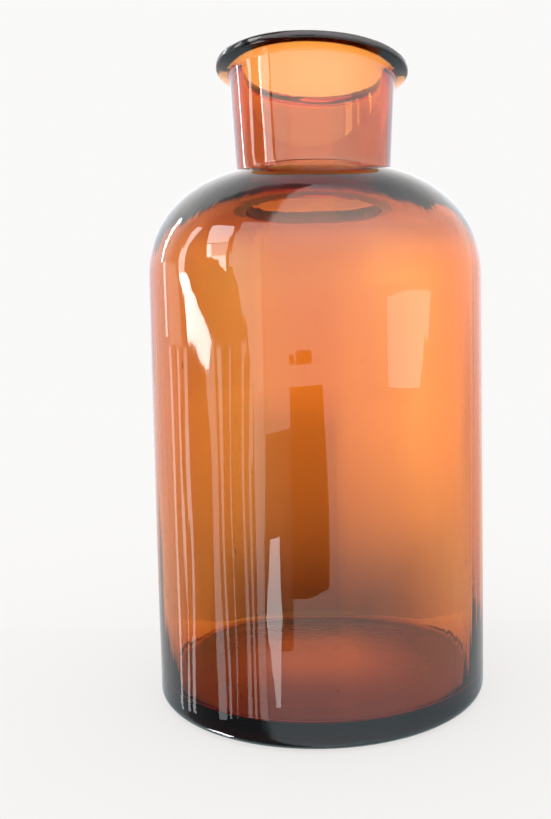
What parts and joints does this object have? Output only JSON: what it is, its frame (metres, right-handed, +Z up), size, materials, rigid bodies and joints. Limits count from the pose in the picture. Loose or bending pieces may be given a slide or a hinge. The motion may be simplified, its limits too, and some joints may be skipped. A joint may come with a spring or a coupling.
{
  "type": "reagent bottle",
  "caption": "Wide-necked amber glass reagent bottle: upright cylinder with rounded shoulder, short flaring neck, flared lip and thick base; open mouth takes a stopper.",
  "frame": {"origin": "centre of the standing ring, on the surface that the bottle stands on", "axes": "+Z up along the bottle's axis, towards the mouth; +X and +Y are equivalent, because the form is turned"},
  "size_m": [0.1368, 0.1368, 0.2565],
  "materials": {
    "amber_glass": "clear, fire-polished, amber throughout"
  },
  "bodies": {
    "root": {"bottle": "amber_glass"}
  },
  "joints": []
}
